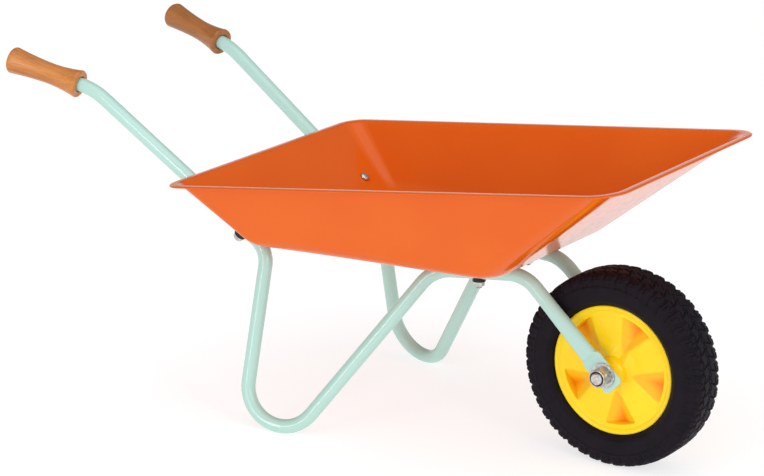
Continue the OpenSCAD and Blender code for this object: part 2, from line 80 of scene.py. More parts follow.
def loft(rings, wrap_rows=False, caps=(False, False)):
    """Points and faces of a skin through closed rings with the same number of points."""
    rings = np.asarray(rings, float)
    rows, count = rings.shape[:2]
    i = np.arange(rows if wrap_rows else rows - 1)
    i, j = np.meshgrid(i, np.arange(count), indexing="ij")
    i2, j2 = (i + 1) % rows, (j + 1) % count
    quads = np.stack([i * count + j, i * count + j2, i2 * count + j2, i2 * count + j], -1)
    faces = quads.reshape(-1, 4).tolist()
    if caps[0]:
        faces.append(list(range(count))[::-1])
    if caps[1]:
        faces.append(list(range((rows - 1) * count, rows * count)))
    return rings.reshape(-1, 3), faces


def joined(*shapes):
    """Several (points, faces) pairs as one."""
    points, faces, start = [], [], 0
    for p, f in shapes:
        points.append(p)
        faces += [[index + start for index in face] for face in f]
        start += len(p)
    return np.concatenate(points), faces


def moved(shape, matrix):
    """A (points, faces) pair through a 4x4 matrix in millimetres."""
    points, faces = shape
    m = np.array(matrix)
    return points @ m[:3, :3].T + m[:3, 3], faces


def new_mesh(name, shape, material, sharp_deg=35.0, tidy=True):
    """A mesh object from points in millimetres, smooth but for edges sharper than sharp_deg."""
    points, faces = shape
    mesh = bpy.data.meshes.new(name)
    mesh.from_pydata((points * MM).tolist(), [], faces)
    if tidy:
        bm = bmesh.new()
        bm.from_mesh(mesh)
        bmesh.ops.remove_doubles(bm, verts=bm.verts, dist=1e-7)
        bmesh.ops.dissolve_degenerate(bm, edges=bm.edges, dist=1e-8)
        bmesh.ops.recalc_face_normals(bm, faces=bm.faces)
        bm.to_mesh(mesh)
        bm.free()
    mesh.polygons.foreach_set("use_smooth", [True] * len(mesh.polygons))
    mesh.set_sharp_from_angle(angle=math.radians(sharp_deg))
    mesh.materials.append(material)
    obj = bpy.data.objects.new(name, mesh)
    bpy.context.scene.collection.objects.link(obj)
    return obj


def piece(name, shape, material, slot, body, replaces, matrix=None, **options):
    """A visible piece: it rides on a body and stands for CAD nodes."""
    obj = new_mesh(name, shape, material, **options)
    if matrix is not None:
        local = Matrix(matrix)
        local.translation = local.translation * MM
        obj.matrix_world = local
    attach(obj, body)
    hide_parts(*replaces)


def around(segments):
    """Evenly spaced angles around a full turn."""
    return np.linspace(0, 2 * math.pi, segments, endpoint=False)


def ring(r, angle, z):
    """Points around Z at a radius, angle and height, each a number or an array."""
    r, angle, z = np.broadcast_arrays(r, angle, z)
    return np.stack([r * np.cos(angle), r * np.sin(angle), z], -1)


def revolve(profile, segments=72, closed=True):
    """A solid of revolution about Z from [radius, height] points.
    Closed profiles go all round their section; open ones start and end near the axis."""
    profile = np.asarray(profile, float)
    rings = ring(profile[:, :1], around(segments), profile[:, 1:])
    return loft(rings, wrap_rows=closed, caps=(not closed, not closed))


def filleted(points, radii, steps=5, share=0.49):
    """A polyline with rounded corners; no arc uses more than this share of a side."""
    points = [np.asarray(p, float) for p in points]
    out = [points[0]]
    for a, b, c, r in zip(points, points[1:], points[2:], radii[1:]):
        d1, d2 = unit(a - b), unit(c - b)
        half = math.acos(np.clip(d1 @ d2, -1, 1)) / 2
        if r <= 0 or half > math.pi / 2 - 1e-3:
            out.append(b)
            continue
        longest = share * min(np.linalg.norm(a - b), np.linalg.norm(c - b))
        back = min(r / math.tan(half), longest)
        r = back * math.tan(half)
        centre = b + unit(d1 + d2) * r / math.sin(half)
        v1, v2 = b + d1 * back - centre, b + d2 * back - centre
        sweep = math.acos(np.clip(unit(v1) @ unit(v2), -1, 1))
        for k in range(steps + 1):
            t = k / steps
            arm = math.sin((1 - t) * sweep) * v1 + math.sin(t * sweep) * v2
            out.append(centre + arm / math.sin(sweep))
    out.append(points[-1])
    return np.array(out)


def mirrored(shape):
    """The left-hand copy of a right-hand shape."""
    points, faces = shape
    return points * [1, -1, 1], [face[::-1] for face in faces]


def smooth_step(x, lo, hi):
    """0 up to lo, 1 from hi on, and a smooth rise between them."""
    t = np.clip((x - lo) / (hi - lo), 0, 1)
    return t * t * (3 - 2 * t)


# ---- Materials
def add_node(tree, kind, inputs, **settings):
    """A new shader node: its inputs are linked to sockets or set to constants."""
    made = tree.nodes.new(kind)
    for key, value in settings.items():
        setattr(made, key, value)
    for key, value in inputs.items():
        if isinstance(value, bpy.types.NodeSocket):
            tree.links.new(value, made.inputs[key])
        else:
            made.inputs[key].default_value = value
    return made


class Paint:
    """A material being built: its Principled shader and short calls that add nodes."""

    def __init__(self, name, **constants):
        self.material = bpy.data.materials.new(name)
        self.material.use_nodes = True
        self.tree = self.material.node_tree
        self.shader = self.tree.nodes["Principled BSDF"]
        for socket, value in constants.items():
            self.shader.inputs[socket.replace("_", " ")].default_value = value
        self.coords = self.tree.nodes.new("ShaderNodeTexCoord").outputs["Object"]

    def node(self, kind, inputs, **settings):
        return add_node(self.tree, kind, inputs, **settings)

    def noise(self, scale, detail=3.0, roughness=0.5, distortion=0.0):
        """Noise over object coordinates in metres; a scale for each axis stretches it."""
        vector = self.coords
        if isinstance(scale, tuple):
            mapping = self.node("ShaderNodeMapping", {"Vector": vector, "Scale": scale})
            vector, scale = mapping.outputs["Vector"], 1.0
        return self.node("ShaderNodeTexNoise", {
            "Vector": vector, "Scale": scale, "Detail": detail,
            "Roughness": roughness, "Distortion": distortion}).outputs["Fac"]

    def ramp(self, value, *stops):
        """A colour ramp through (position, colour) stops."""
        made = self.node("ShaderNodeValToRGB", {"Fac": value})
        elements = made.color_ramp.elements
        while len(elements) < len(stops):
            elements.new(0.5)
        for element, (position, colour) in zip(elements, stops):
            element.position = position
            element.color = (*colour, 1.0)
        return made.outputs["Color"]

    def span(self, value, lo, hi, new_lo, new_hi):
        """A value's range lo..hi turned into new_lo..new_hi, clamped."""
        return self.node("ShaderNodeMapRange", {
            "Value": value, "From Min": lo, "From Max": hi,
            "To Min": new_lo, "To Max": new_hi}).outputs["Result"]

    def mix(self, factor, a, b, blend="MIX"):
        """Two colours mixed: the node's colour sockets are inputs 6 and 7 and output 2."""
        made = self.node("ShaderNodeMix", {0: factor, 6: a, 7: b},
                         data_type="RGBA", blend_type=blend)
        return made.outputs[2]

    def calc(self, operation, *values):
        """A sum, product or other operation on values."""
        made = self.node("ShaderNodeMath", dict(enumerate(values)), operation=operation)
        return made.outputs[0]

    def bump(self, height, distance, strength=1.0):
        made = self.node("ShaderNodeBump", {
            "Height": height, "Distance": distance, "Strength": strength})
        self.set("Normal", made.outputs["Normal"])

    def set(self, socket, value):
        """Link a value to one of the shader's inputs."""
        self.tree.links.new(value, self.shader.inputs[socket])


def powder_coat(name, light, dark, roughness, peel, ior):
    """Glossy powder coat: a colour that drifts a little, and faint orange peel."""
    paint = Paint(name, IOR=ior)
    drift = paint.noise(9.0, detail=2.0)
    paint.set("Base Color", paint.ramp(drift, (0.35, dark), (0.65, light)))
    sheen = paint.noise(140.0, detail=4.0)
    paint.set("Roughness", paint.span(sheen, 0.3, 0.7, roughness - 0.04, roughness + 0.05))
    fine = paint.calc("MULTIPLY", paint.noise(420.0, detail=2.0), 0.6)
    paint.bump(paint.calc("ADD", fine, paint.noise(60.0, detail=1.0)), peel * MM)
    return paint.material


def lacquered_beech(name, tone_and_shade):
    """Turned beech: long fine grain along the grip, small dark flecks, clear lacquer."""
    wood = Paint(name, IOR=1.45)
    fine = wood.noise((700.0, 700.0, 22.0), detail=6.0, roughness=0.65)
    bands = wood.noise((150.0, 150.0, 7.0), distortion=0.6)
    flecks = wood.noise((1500.0, 1500.0, 120.0), detail=2.0)
    shades = ((0.28, (0.56, 0.185, 0.038)), (0.52, (0.74, 0.270, 0.060)),
              (0.75, (0.84, 0.34, 0.088)))
    base = wood.ramp(bands, *((at, tuple(tone_and_shade * c for c in colour)) for at, colour in shades))
    grain = wood.ramp(fine, (0.32, (0.72, 0.62, 0.52)), (0.58, (1.0, 1.0, 1.0)))
    fleck = wood.ramp(flecks, (0.30, (0.60, 0.48, 0.38)), (0.40, (1.0, 1.0, 1.0)))
    colour = wood.mix(0.75, base, grain, "MULTIPLY")
    wood.set("Base Color", wood.mix(0.5, colour, fleck, "MULTIPLY"))
    wood.set("Roughness", wood.span(fine, 0.3, 0.7, 0.36, 0.24))
    wood.bump(wood.calc("ADD", fine, flecks), 0.05 * MM, strength=0.6)
    return wood.material


def zinc_plate():
    """Bright zinc: slightly mottled, with fine brushed scratches."""
    zinc = Paint("zinc_plate", Metallic=1.0, IOR=1.5)
    mottle = zinc.noise(420.0, detail=4.0)
    scratches = zinc.noise((2500.0, 300.0, 2500.0))
    shades = ((0.35, (0.40, 0.40, 0.39)), (0.65, (0.66, 0.66, 0.64)))
    zinc.set("Base Color", zinc.ramp(mottle, *shades))
    zinc.set("Roughness", zinc.span(scratches, 0.3, 0.7, 0.20, 0.36))
    zinc.bump(zinc.calc("ADD", mottle, scratches), 0.012 * MM)
    return zinc.material


def dark_polymer(name, colour, roughness, grain, shine=0.35):
    """Black rubber or plastic with a fine moulded grain and dull patches."""
    dark = Paint(name, IOR=1.45, Specular_IOR_Level=shine)
    patches = dark.noise(70.0, detail=3.0)
    lighter = tuple(min(1.0, c * 1.7) for c in colour)
    dark.set("Base Color", dark.ramp(patches, (0.35, colour), (0.75, lighter)))
    dark.set("Roughness", dark.span(patches, 0.3, 0.7, roughness - 0.06, roughness + 0.08))
    coarse = dark.calc("MULTIPLY", dark.noise(260.0), 0.5)
    dark.bump(dark.calc("ADD", dark.noise(1400.0, detail=3.0), coarse), grain * MM)
    return dark.material


# Painted shade: below the first distance from the wheel's middle the yellow plastic is painted a
# deeper orange, for the light that bounces in the valleys; in full over the second distance, and
# in part within the third, in mm
PAINTED_SHADE_FROM, PAINTED_SHADE_OVER, EDGE_SHADE_OVER = 15.3, 7.5, 1.0


def glossy_yellow():
    """Moulded yellow plastic: soft gloss, a little light passing through it, and painted shade:
    orange painted into the depth of the valleys for the light that bounces there."""
    plastic = Paint("moulded_yellow", IOR=1.40, Subsurface_Weight=0.12,
                    Subsurface_Scale=0.004, Subsurface_Radius=(1.0, 0.45, 0.10))
    flow = plastic.noise(26.0, detail=2.0)
    base = plastic.ramp(flow, (0.3, (0.985, 0.660, 0.006)), (0.7, (1.0, 0.710, 0.010)))
    # Painted shade: the base colour turns orange with depth below the face, in full deep in the
    # valleys and in part just below the face at their edges
    split = plastic.node("ShaderNodeSeparateXYZ", {"Vector": plastic.coords})
    out = plastic.calc("ABSOLUTE", split.outputs["Y"])
    valley_shade = plastic.span(out, PAINTED_SHADE_FROM * MM, (PAINTED_SHADE_FROM - PAINTED_SHADE_OVER) * MM, 0.0, 1.0)
    edge = plastic.span(out, PAINTED_SHADE_FROM * MM, (PAINTED_SHADE_FROM - EDGE_SHADE_OVER) * MM, 0.0, 0.45)
    shade = plastic.calc("MAXIMUM", valley_shade, edge)
    plastic.set("Base Color", plastic.mix(shade, base, (0.930, 0.300, 0.003, 1.0)))
    sheen = plastic.noise(300.0, detail=3.0)
    plastic.set("Roughness", plastic.span(sheen, 0.3, 0.7, 0.26, 0.36))
    plastic.bump(plastic.noise(900.0, detail=3.0), 0.01 * MM)
    return plastic.material


ORANGE = powder_coat("orange_powder_coat", light=(0.760, 0.124, 0.004),
                     dark=(0.738, 0.113, 0.003), roughness=0.13, peel=0.0015, ior=1.33)
MINT = powder_coat("mint_powder_coat", light=(0.450, 0.675, 0.610),
                   dark=(0.425, 0.655, 0.585), roughness=0.09, peel=0.002, ior=1.52)
# The left grip, the far one, gets a darker copy of the beech: painted shade for the light that
# falls off there
BEECH = {"right": lacquered_beech("pale_beech", 0.80),
         "left": lacquered_beech("beech_painted_shade", 0.52)}
ZINC = zinc_plate()
RUBBER = dark_polymer("black_rubber", (0.012, 0.011, 0.012), 0.62, 0.02)
PLASTIC = dark_polymer("black_plastic", (0.010, 0.010, 0.011), 0.42, 0.01)
TYRE = dark_polymer("tyre_rubber", (0.0065, 0.0048, 0.0078), 0.56, 0.02, shine=0.12)
YELLOW = glossy_yellow()


# ---- Tray: one pressed sheet, lofted through rings from the floor out to the rolled edge
LIP_REAR_Z, LIP_FRONT_Z = 254.0, 323.0
TRAY_REAR_X, TRAY_FRONT_X = TRAY_LO[0], TRAY_HI[0]
TRAY_REAR_HALF, TRAY_FRONT_HALF = 170.0, 151.0
# The lip: its flat width, the rounding at its inner crease, how far its edge turns down,
# the roll on its upper side, and the tighter one on its underside
LIP_W, LIP_ROUND, LIP_DROP = 9.5, 4.0, 1.9
LIP_ROLL_W, LIP_ROLL_H = 3.4, 1.1
INNER_ROLL_W, INNER_ROLL_H = 0.4, 0.25
# Height of the half round edge
EDGE_H = 0.36
LIP_CORNER_REAR, LIP_CORNER_FRONT = 24.0, 33.0
FLOOR_Z0, FLOOR_SLOPE = 194.2, 0.0195
FLOOR_REAR_X, FLOOR_FRONT_X = -75.5, 199.5
FLOOR_REAR_HALF, FLOOR_FRONT_HALF = 128.8, 104.0
FLOOR_CORNER_REAR, FLOOR_CORNER_FRONT, FLOOR_ROUND = 9.0, 24.5, 17.0
# How much of an inset comes off the corner radii, and the least radius left
FLOOR_INSET, LIP_INSET, LEAST_R = 0.7, 0.6, 2.0
# Shift of the upper skin's creases, as shares of the sheet: end walls and side walls
MITER_X, MITER_Y = 0.36, 0.63
CORNER_STEPS, SIDE_STEPS, WALL_STEPS = 36, 20, 14
CREASE_STEPS, LIP_STEPS, ROLL_STEPS, EDGE_STEPS = 12, 6, 10, 6
# Waves that the press leaves in the conical corners: height in mm, and how many
WAVE, WAVES = 0.10, 3.0


def lip_z(x):
    """Height of the lip's upper side at x."""
    slope = (LIP_FRONT_Z - LIP_REAR_Z) / (TRAY_FRONT_X - TRAY_REAR_X)
    return LIP_REAR_Z + slope * (x - TRAY_REAR_X)


def floor_z(x):
    """Height of the underside of the tray's floor at x."""
    return FLOOR_Z0 + FLOOR_SLOPE * x


def outline(x0, x1, half0, half1, r0, r1):
    """A four-sided outline with rounded corners, points on its straight sides too."""
    corners = [np.array(c) for c in ((x0, -half0), (x1, -half1), (x1, half1), (x0, half0))]
    arcs = []
    for k, r in enumerate((r0, r1, r1, r0)):
        a, b, c = corners[k - 1], corners[k], corners[(k + 1) % 4]
        d1, d2 = unit(a - b), unit(c - b)
        half = math.acos(d1 @ d2) / 2
        centre = b + unit(d1 + d2) * r / math.sin(half)
        start = b + d1 * r / math.tan(half) - centre
        sweep = np.linspace(0, math.pi - 2 * half, CORNER_STEPS + 1)
        angle = math.atan2(start[1], start[0]) + sweep
        arcs.append(centre + r * np.stack([np.cos(angle), np.sin(angle)], 1))
    rows = []
    for k in range(4):
        t = np.arange(1, SIDE_STEPS)[:, None] / SIDE_STEPS
        rows += [arcs[k], arcs[k][-1] + t * (arcs[(k + 1) % 4][0] - arcs[k][-1])]
    return np.concatenate(rows)


def corner_share():
    """A value for each ring point: 0 on a side, and 0 to 1 along a rounded corner."""
    one = np.concatenate([np.linspace(0, 1, CORNER_STEPS + 1), np.zeros(SIDE_STEPS - 1)])
    return np.tile(one, 4)


def on_floor(flat, lift):
    """A flat outline raised onto the floor's plane, and by lift."""
    return np.column_stack([flat, floor_z(flat[:, 0]) + lift])


def on_lip(flat, lift):
    """A flat outline raised onto the lip's plane, and by lift."""
    return np.column_stack([flat, lip_z(flat[:, 0]) + lift])


def floor_outline(d, mx=0.0, my=0.0):
    """The crease around the floor, moved in by d and the miter shifts mx and my."""
    return outline(FLOOR_REAR_X + d + mx, FLOOR_FRONT_X - d - mx,
                   FLOOR_REAR_HALF - d - my, FLOOR_FRONT_HALF - d - my,
                   max(FLOOR_CORNER_REAR - d * FLOOR_INSET, LEAST_R),
                   max(FLOOR_CORNER_FRONT - d * FLOOR_INSET, LEAST_R))


def lip_outline(d, mx=0.0, my=0.0):
    """The outer edge of the lip, moved in by d and the miter shifts mx and my."""
    return outline(TRAY_REAR_X + d + mx, TRAY_FRONT_X - d - mx,
                   TRAY_REAR_HALF - d - my, TRAY_FRONT_HALF - d - my,
                   LIP_CORNER_REAR - d * LIP_INSET, LIP_CORNER_FRONT - d * LIP_INSET)


def towards(a, b, length):
    """Ring a moved towards ring b, each point by the same length."""
    run = b - a
    return a + length * run / np.linalg.norm(run, axis=1)[:, None]


def bend(a, knee, b, steps):
    """Rings along the curve that rounds a crease between rings a and b."""
    return [(1 - t) ** 2 * a + 2 * t * (1 - t) * knee + t * t * b
            for t in np.linspace(0, 1, steps + 1)]


def tray_skin(lift):
    """Rings of the lower (lift 0) or upper skin, from the floor out to the flat lip."""
    mx, my = MITER_X * lift, MITER_Y * lift
    f0 = on_floor(floor_outline(FLOOR_ROUND, mx, my), lift)
    f1 = on_floor(floor_outline(0, mx, my), lift)
    l1 = on_lip(lip_outline(LIP_W, mx, my), lift - SHEET)
    l2 = on_lip(lip_outline(LIP_W - LIP_ROUND, mx, my), lift - SHEET)
    w0, w1 = towards(f1, l1, FLOOR_ROUND), towards(l1, f1, LIP_ROUND)
    share = corner_share()
    fade = np.sin(math.pi * share) ** 2
    out = f1[:, :2] - [np.mean(f1[:, 0]), 0]
    out = np.column_stack([out / np.linalg.norm(out, axis=1)[:, None], np.zeros(len(out))])
    wall = []
    for t in np.linspace(0, 1, WALL_STEPS + 1)[1:-1]:
        wave = WAVE * np.sin(2 * math.pi * WAVES * share) * fade * math.sin(math.pi * t)
        wall.append(w0 + t * (w1 - w0) + wave[:, None] * out)
    return [*bend(f0, f1, w0, CREASE_STEPS), *wall, *bend(w1, l1, l2, LIP_STEPS)]


def outer_roll(angle):
    """The gentle roll of the lip's upper side, down to its outer edge at a quarter turn."""
    return on_lip(lip_outline(LIP_ROLL_W * (1 - math.sin(angle))),
                  LIP_ROLL_H * (math.cos(angle) - 1))


def inner_roll(angle):
    """The tight turn under the lip, from its flat underside to the inside of its edge."""
    return on_lip(lip_outline(SHEET + INNER_ROLL_W * (1 - math.sin(angle))),
                  -SHEET - INNER_ROLL_H * (1 - math.cos(angle)))


def round_edge(angle):
    """The half round edge of the sheet, from its outer side under to its inner side."""
    inset = SHEET / 2 * (1 - math.cos(angle))
    return on_lip(lip_outline(inset), -LIP_DROP + EDGE_H * (1 - math.sin(angle)))


def make_tray():
    """The tray, lofted out over its upper skin, around the lip's edge and back beneath."""
    quarter = np.linspace(0, math.pi / 2, ROLL_STEPS + 1)
    edge = [outer_roll(a) for a in quarter]
    edge += [round_edge(a) for a in np.linspace(0, math.pi, EDGE_STEPS + 1)]
    edge += [inner_roll(a) for a in quarter[::-1]]
    shape = loft([*tray_skin(SHEET), *edge, *tray_skin(0)[::-1]], caps=(True, True))
    piece("pressed_tray", shape, ORANGE, "tray_paint", "barrow", ["tray"], sharp_deg=50)


# ---- Side tubes: a flat bent tube in a leaning plane, flattened at the fork end
PLANE_TURN, PLANE_LEAN = 13.5, 13
PLANE = (Matrix.Translation((AXLE[0], -FORK_Y, AXLE[2]))
         @ Matrix.Rotation(math.radians(PLANE_TURN), 4, "Z")
         @ Matrix.Rotation(math.radians(-PLANE_LEAN), 4, "X"))
# Corners of the tube's middle line in that plane, [along, up] from the axle
GRIP_END, HANDLE_BEND = np.array([-683.5, 256.7]), np.array([-582.8, 232.8])
LEG_TOP, FOOT_U = np.array([-370.65, 84.8]), -389.9
STRUT_TOP, FORK_BEND = np.array([-187.5, 85.1]), np.array([-90.6, 90.3])
BEND_R, LEG_BEND_R, HANDLE_BEND_R = 40.0, 30.0, 80.0
GRIP_L, GRIP_COVER = 86.0, 62.0
# Rings on the tube's straight stretches lie about this far apart
RING_STEP = 12.0


def in_frame(p):
    """A point [along, up] of the right tube's plane, in the object's frame."""
    return np.array(PLANE @ Vector((p[0], 0, p[1])))


def foot_corner():
    """The corner point that lets the foot's bend just touch the floor."""
    low = (TUBE_R - AXLE[2]) / math.cos(math.radians(PLANE_LEAN))
    v = 2 * low
    for _ in range(30):
        a = math.atan2(LEG_TOP[1] - v, LEG_TOP[0] - FOOT_U)
        b = math.atan2(STRUT_TOP[1] - v, STRUT_TOP[0] - FOOT_U)
        v = low + BEND_R - BEND_R / math.sin((a - b) / 2) * math.sin((a + b) / 2)
    return np.array([FOOT_U, v])


def tube_path():
    """The tube's middle line in its plane, from inside the grip to the axle."""
    start = GRIP_END + (GRIP_L - GRIP_COVER) * unit(HANDLE_BEND - GRIP_END)
    corners = [start, HANDLE_BEND, LEG_TOP, foot_corner(), STRUT_TOP, FORK_BEND, np.zeros(2)]
    radii = [0, HANDLE_BEND_R, LEG_BEND_R, BEND_R, BEND_R, BEND_R]
    path = filleted(corners, radii, steps=20, share=0.8)
    fine = [path[0]]
    for a, b in zip(path, path[1:]):
        pieces = max(1, int(np.linalg.norm(b - a) / RING_STEP))
        fine += [a + (b - a) * k / pieces for k in range(1, pieces + 1)]
    return np.array(fine)


# The pressed end, by distance from the axle: where it starts to flatten, and the crease
# where it becomes the doubled plate; its half thickness just before the crease
FLAT_FROM, CREASE_START, CREASE_END = 98.0, 26.0, 19.5
CREASE_HALF_T = 4.3
# How much wider the press stretches the section, and between which reductions
STRETCH, STRETCH_FROM, STRETCH_TO = 0.146, 3.2, 6.0
# The plate: how far it runs past the axle, its clipped corners and its half width
PLATE_TIP, PLATE_CLIP, PLATE_HALF_W = 17.0, 3.0, 12.3
CLIP_FROM = PLATE_TIP - PLATE_CLIP
# The share of the pressed end over which it turns square to the axle
TURN_OVER = 0.6


def half_thickness(s):
    """Half the tube's thickness at distance s before the axle."""
    pressed = smooth_step(FLAT_FROM - s, 0, FLAT_FROM - CREASE_START)
    gentle = TUBE_R - (TUBE_R - CREASE_HALF_T) * pressed
    ramp = smooth_step(CREASE_START - s, 0, CREASE_START - CREASE_END)
    return gentle + (PLATE_T / 2 - gentle) * ramp


def section(b, limit=None, arc_steps=14, flat_steps=5):
    """A tube pressed to half thickness b, a little stretched where it is flattest."""
    stretch = 1 + STRETCH * smooth_step(TUBE_R - b, STRETCH_FROM, STRETCH_TO)
    half_flat = math.pi / 2 * (TUBE_R - b) * stretch
    if limit is not None:
        half_flat = min(half_flat, limit - b)
    a = np.linspace(-math.pi / 2, math.pi / 2, arc_steps + 1)
    right = np.stack([half_flat + b * np.cos(a), b * np.sin(a)], 1)
    t = np.arange(1, flat_steps)[:, None] / flat_steps
    top = right[-1] + t * (np.array([-half_flat, b]) - right[-1])
    return np.concatenate([right, top, -right, -top])


def side_tube():
    """The right tube, from inside its grip to the tip of its flattened end."""
    path = tube_path()
    lengths = np.concatenate([[0], np.cumsum(np.linalg.norm(np.diff(path, axis=0), axis=1))])
    to_axle = lengths[-1] - lengths
    keep = to_axle > FLAT_FROM - 1
    rings = []
    through = unit(np.array(PLANE.to_3x3() @ Vector((0, 1, 0))))
    tangents = np.gradient(path, axis=0)
    for p, t in zip(path[keep], tangents[keep]):
        along = unit(np.array(PLANE.to_3x3() @ Vector((t[0], 0, t[1]))))
        across = np.cross(through, along)
        cut = section(TUBE_R)
        rings.append(in_frame(p) + cut[:, :1] * across + cut[:, 1:] * through)
    # The pressed end: the section flattens square to the axle while the line runs straight
    end = np.array([AXLE[0], -FORK_Y, AXLE[2]])
    start = in_frame(path[keep][-1])
    run = unit(end - start)
    axle_line = np.array([0, 1.0, 0])
    across_end = unit(np.cross(axle_line, run))
    across_start = np.cross(through, run)
    distances = np.concatenate([np.linspace(FLAT_FROM - 4, CREASE_START + 2, 22),
                                np.linspace(CREASE_START, CREASE_END, 12),
                                np.linspace(CREASE_END - 1.5, -CLIP_FROM, 10),
                                np.linspace(-CLIP_FROM - 0.8, -PLATE_TIP, 5)])
    total = np.linalg.norm(end - start)
    for s in distances:
        turn = smooth_step(1 - s / total, 0, TURN_OVER)
        axis_through = unit((1 - turn) * through + turn * axle_line)
        axis_across = unit((1 - turn) * across_start + turn * across_end)
        past = -s - CLIP_FROM
        cut = section(half_thickness(s), limit=PLATE_HALF_W - past if past > 0 else None)
        rings.append(end - s * run + cut[:, :1] * axis_across + cut[:, 1:] * axis_through)
    return loft(rings, caps=(True, True))


def make_side_tubes():
    shape = side_tube()
    for side, made in (("right", shape), ("left", mirrored(shape))):
        piece(f"{side}_bent_tube", made, MINT, "tube_paint", "barrow",
              [f"{side}_side_tube"], sharp_deg=42)


# ---- Grips: turned wood on the ends of the tubes
GRIP_REAR_R, GRIP_WAIST_R, GRIP_FRONT_R = 15.0, 11.2, 15.5
# The waist's place along the grip, and how its radius grows away from it
WAIST_AT, WAIST_POWER = 0.58, 1.8
REAR_ROUND, FRONT_ROUND = 4.0, 2.2
MOUTH_R, MOUTH_DEPTH = TUBE_R + 1.2, 2.5
# Radius of the small flats in the middle of the rear end and of the bore's end
CENTRE_R = 0.4


def grip_radius(t):
    """Radius at a share t of the grip's length from its rear end."""
    if t < WAIST_AT:
        end_r, away = GRIP_REAR_R, 1 - t / WAIST_AT
    else:
        end_r, away = GRIP_FRONT_R, (t - WAIST_AT) / (1 - WAIST_AT)
    return GRIP_WAIST_R + (end_r - GRIP_WAIST_R) * away ** WAIST_POWER


def grip_profile():
    """[radius, height] from the middle of the rear end, over the outside, into the bore."""
    first, last = REAR_ROUND / GRIP_L, 1 - FRONT_ROUND / GRIP_L
    rear_r, front_r = grip_radius(first), grip_radius(last)
    rear = [[rear_r - REAR_ROUND * (1 - math.sin(a)), REAR_ROUND * (1 - math.cos(a))]
            for a in np.linspace(0.1, math.pi / 2 - 0.1, 8)]
    body = [[grip_radius(t), t * GRIP_L] for t in np.linspace(first, last, 40)]
    front = [[front_r - FRONT_ROUND * (1 - math.cos(a)),
              GRIP_L - FRONT_ROUND * (1 - math.sin(a))]
             for a in np.linspace(0.15, math.pi / 2, 7)]
    bore_r = TUBE_R + BORE_GAP
    mouth = [[MOUTH_R + 0.6, GRIP_L], [MOUTH_R + 0.15, GRIP_L - 0.2], [MOUTH_R, GRIP_L - 0.7],
             [MOUTH_R, GRIP_L - MOUTH_DEPTH], [bore_r, GRIP_L - MOUTH_DEPTH],
             [bore_r, GRIP_L - GRIP_COVER], [CENTRE_R, GRIP_L - GRIP_COVER]]
    return [[CENTRE_R, 0], [rear_r * 0.5, 0], *rear, *body, *front, *mouth]


def make_grips():
    shape = revolve(grip_profile(), closed=False)
    start = in_frame(GRIP_END)
    along = unit(in_frame(HANDLE_BEND) - start)
    for side, sign in SIDES:
        mirror_y = np.array([1.0, sign, 1.0])
        turn = Vector(along * mirror_y).to_track_quat("Z", "Y").to_matrix().to_4x4()
        place = Matrix.Translation(Vector(start * mirror_y)) @ turn
        piece(f"{side}_turned_grip", shape, BEECH[side], "grip_wood", "barrow",
              [f"{side}_grip"], matrix=place)


# ---- Fasteners
# A thread's depth as a share of its pitch, and the chamfer at a rod's tip
THREAD_DEPTH, ROD_CHAMFER = 0.55, 0.8


def threaded_rod(radius, pitch, z0, z1, plain_to=None, segments=32):
    """A closed rod along Z with a real thread from plain_to up to its chamfered tip at z1."""
    steps = max(8, int((z1 - z0) / pitch * 8))
    z, a = np.meshgrid(np.linspace(z0, z1, steps + 1), around(segments), indexing="ij")
    saw = np.abs((z / pitch - a / (2 * math.pi)) % 1.0 - 0.5) * 2
    depth = THREAD_DEPTH * pitch * np.clip(1.25 * saw - 0.1, 0, 1)
    start = z0 if plain_to is None else plain_to
    depth *= smooth_step(z, start, start + pitch)
    r = np.minimum(radius - depth, radius - ROD_CHAMFER + z1 - z)
    return loft(ring(r, a, z), caps=(True, True))


# A pan head: the height of its straight edge and the radius of its flat top
HEAD_EDGE, HEAD_FLAT_R = 0.7, 2.4
# Its cross recess: half the width and the reach of an arm, each from full depth to none,
# its depth at the ends of the arms and how much deeper its middle is
ARM_HALF_W, ARM_REACH = (0.40, 0.62), (1.9, 2.35)
RECESS, RECESS_MIDDLE = 0.9, 0.5


def pan_head(radius, height):
    """A pan head with a cross recess, its seat at z = 0."""
    a = around(96)
    rows = [ring(r, a, z) for r, z in ((0.5, 0), (radius, 0), (radius, HEAD_EDGE))]
    for k in np.linspace(0, 1, 9)[1:] * math.pi / 2:
        rows.append(ring(HEAD_FLAT_R + (radius - HEAD_FLAT_R) * math.cos(k), a,
                         HEAD_EDGE + (height - HEAD_EDGE) * math.sin(k)))
    for r in np.linspace(HEAD_FLAT_R, 0.05, 18):
        x, y = np.abs(r * np.cos(a + math.pi / 4)), np.abs(r * np.sin(a + math.pi / 4))
        arm, reach = np.minimum(x, y), np.maximum(x, y)
        cut = (1 - smooth_step(arm, *ARM_HALF_W)) * (1 - smooth_step(reach, *ARM_REACH))
        depth = RECESS + RECESS_MIDDLE * (1 - reach / HEAD_FLAT_R)
        rows.append(ring(r, a, height - cut * depth))
    return loft(rows, caps=(True, True))


